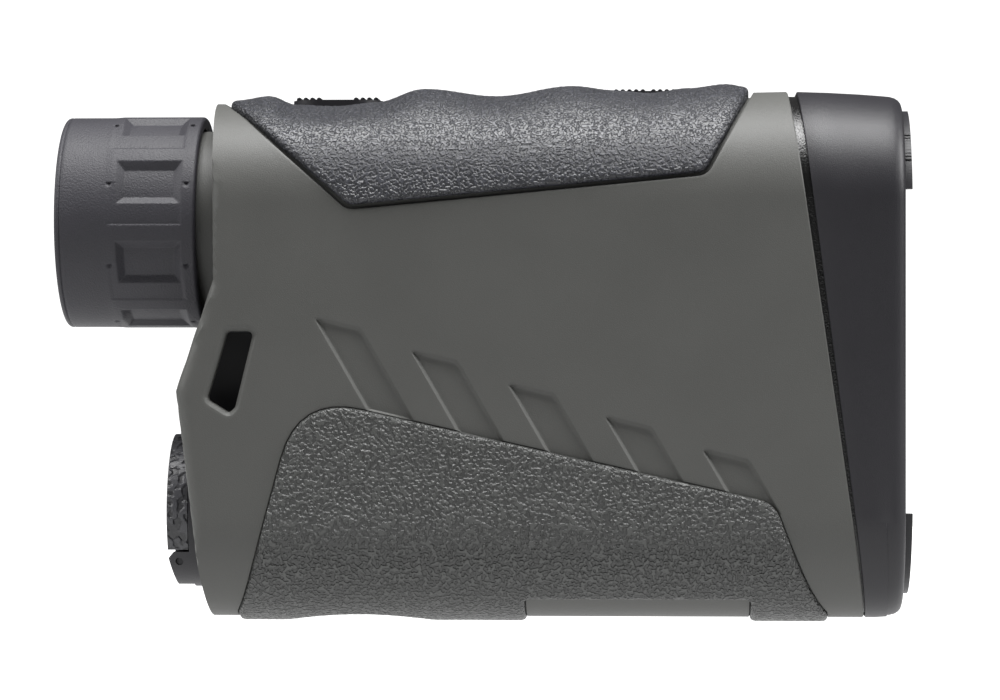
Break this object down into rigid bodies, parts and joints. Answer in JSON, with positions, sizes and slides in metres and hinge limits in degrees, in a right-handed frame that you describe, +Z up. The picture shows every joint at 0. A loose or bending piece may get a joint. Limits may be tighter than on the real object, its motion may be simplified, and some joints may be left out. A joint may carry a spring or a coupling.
{
  "type": "laser rangefinder",
  "caption": "Handheld laser rangefinder with a viewing lens over a receiving lens, turning eyepiece, top buttons, rubber grips, strap slots and a rear battery cap with a folding lever.",
  "frame": {"origin": "centre of the bounding box on the surface that it stands on", "axes": "+X the way it looks, +Z up, +Y to the user's left"},
  "size_m": [0.1198, 0.0402, 0.076],
  "materials": {
    "housing": "fine moulded texture",
    "bezel": "satin black",
    "grain_rubber": "leather grain",
    "pebble_rubber": "coarse pebble grain",
    "eyecup_rubber": "smooth matt",
    "seal_rubber": "smooth",
    "inner_black": "black anodised",
    "frame_metal": "cast and machined",
    "coated_glass": "coated",
    "prism_glass": "polished",
    "steel": "bright",
    "brass": "turned",
    "circuit_board": "lacquered",
    "component_black": "moulded"
  },
  "bodies": {
    "housing": {"right_housing_shell": "housing", "left_housing_shell": "housing", "shell_screws": "steel", "front_bezel": "bezel", "bezel_gasket": "seal_rubber", "front_panel": "bezel", "bezel_screws": "steel", "top_grip": "grain_rubber", "right_grip": "pebble_rubber", "left_grip": "pebble_rubber", "base_pad": "housing", "tripod_bush": "brass", "eyepiece_tube": "housing", "tube_o_ring": "seal_rubber", "optical_frame": "frame_metal", "frame_screws": "steel", "objective_cell": "inner_black", "objective_lens": "coated_glass", "objective_retainer": "inner_black", "receiver_barrel": "inner_black", "receiver_lens": "coated_glass", "receiver_retainer": "inner_black", "detector": "brass", "detector_board": "circuit_board", "emitter_barrel": "inner_black", "emitter_lens": "coated_glass", "laser_diode": "brass", "half_penta_prism": "prism_glass", "roof_prism": "prism_glass", "prism_holder": "frame_metal", "display_panel": "prism_glass", "main_board": "circuit_board", "board_chips": "component_black", "board_screws": "steel", "button_board": "circuit_board", "tact_switches": "component_black", "flex_cable": "circuit_board", "rear_button_seal": "seal_rubber", "front_button_seal": "seal_rubber", "battery_tube": "component_black", "tube_contact": "steel"},
    "diopter": {"diopter_ring": "bezel", "eyecup": "eyecup_rubber"},
    "ocular": {"ocular_cell": "inner_black", "eye_lens": "coated_glass", "field_lens": "coated_glass", "ocular_retainer": "inner_black"},
    "rear_button_body": {"rear_button": "bezel", "rear_plunger": "component_black"},
    "front_button_body": {"front_button": "bezel", "front_plunger": "component_black"},
    "cap_slider": {"cap_o_ring": "seal_rubber"},
    "cap": {"battery_cap": "housing", "cap_contact": "steel", "bail_pin": "steel"},
    "bail": {"cap_bail": "bezel"},
    "battery": {"battery_cell": "steel"}
  },
  "joints": [
    {"name": "diopter_turn", "type": "hinge", "parent": "housing", "child": "diopter", "pos_m": [-0.05, 0, 0.0566], "axis": [1, 0, 0], "range_deg": [-120, 120]},
    {"name": "ocular_slide", "type": "slide", "parent": "housing", "child": "ocular", "axis": [-1, 0, 0], "range_m": [-0.0013, 0.0013]},
    {"name": "rear_button_press", "type": "slide", "parent": "housing", "child": "rear_button_body", "axis": [0, 0, -1], "range_m": [0, 0.0008], "stiffness_N_per_m": 1800, "springref_m": -0.0006},
    {"name": "front_button_press", "type": "slide", "parent": "housing", "child": "front_button_body", "axis": [0, 0, -1], "range_m": [0, 0.0008], "stiffness_N_per_m": 1800, "springref_m": -0.0006},
    {"name": "cap_pull", "type": "slide", "parent": "housing", "child": "cap_slider", "axis": [-1, 0, 0], "range_m": [0, 0.055]},
    {"name": "cap_turn", "type": "hinge", "parent": "cap_slider", "child": "cap", "pos_m": [-0.0405, 0, 0.0154], "axis": [-1, 0, 0], "range_deg": [0, 90]},
    {"name": "bail_flip", "type": "hinge", "parent": "cap", "child": "bail", "pos_m": [-0.0429, 0, 0.0084], "axis": [0, -1, 0], "range_deg": [0, 100]},
    {"name": "battery_slide", "type": "slide", "parent": "housing", "child": "battery", "axis": [-1, 0, 0], "range_m": [0, 0.0385]}
  ],
  "couplings": [
    {"joint": "ocular_slide", "follows": "diopter_turn", "m_per_rad": 0.000621},
    {"joint": "battery_slide", "follows": "cap_pull", "ratio": 0.7}
  ]
}
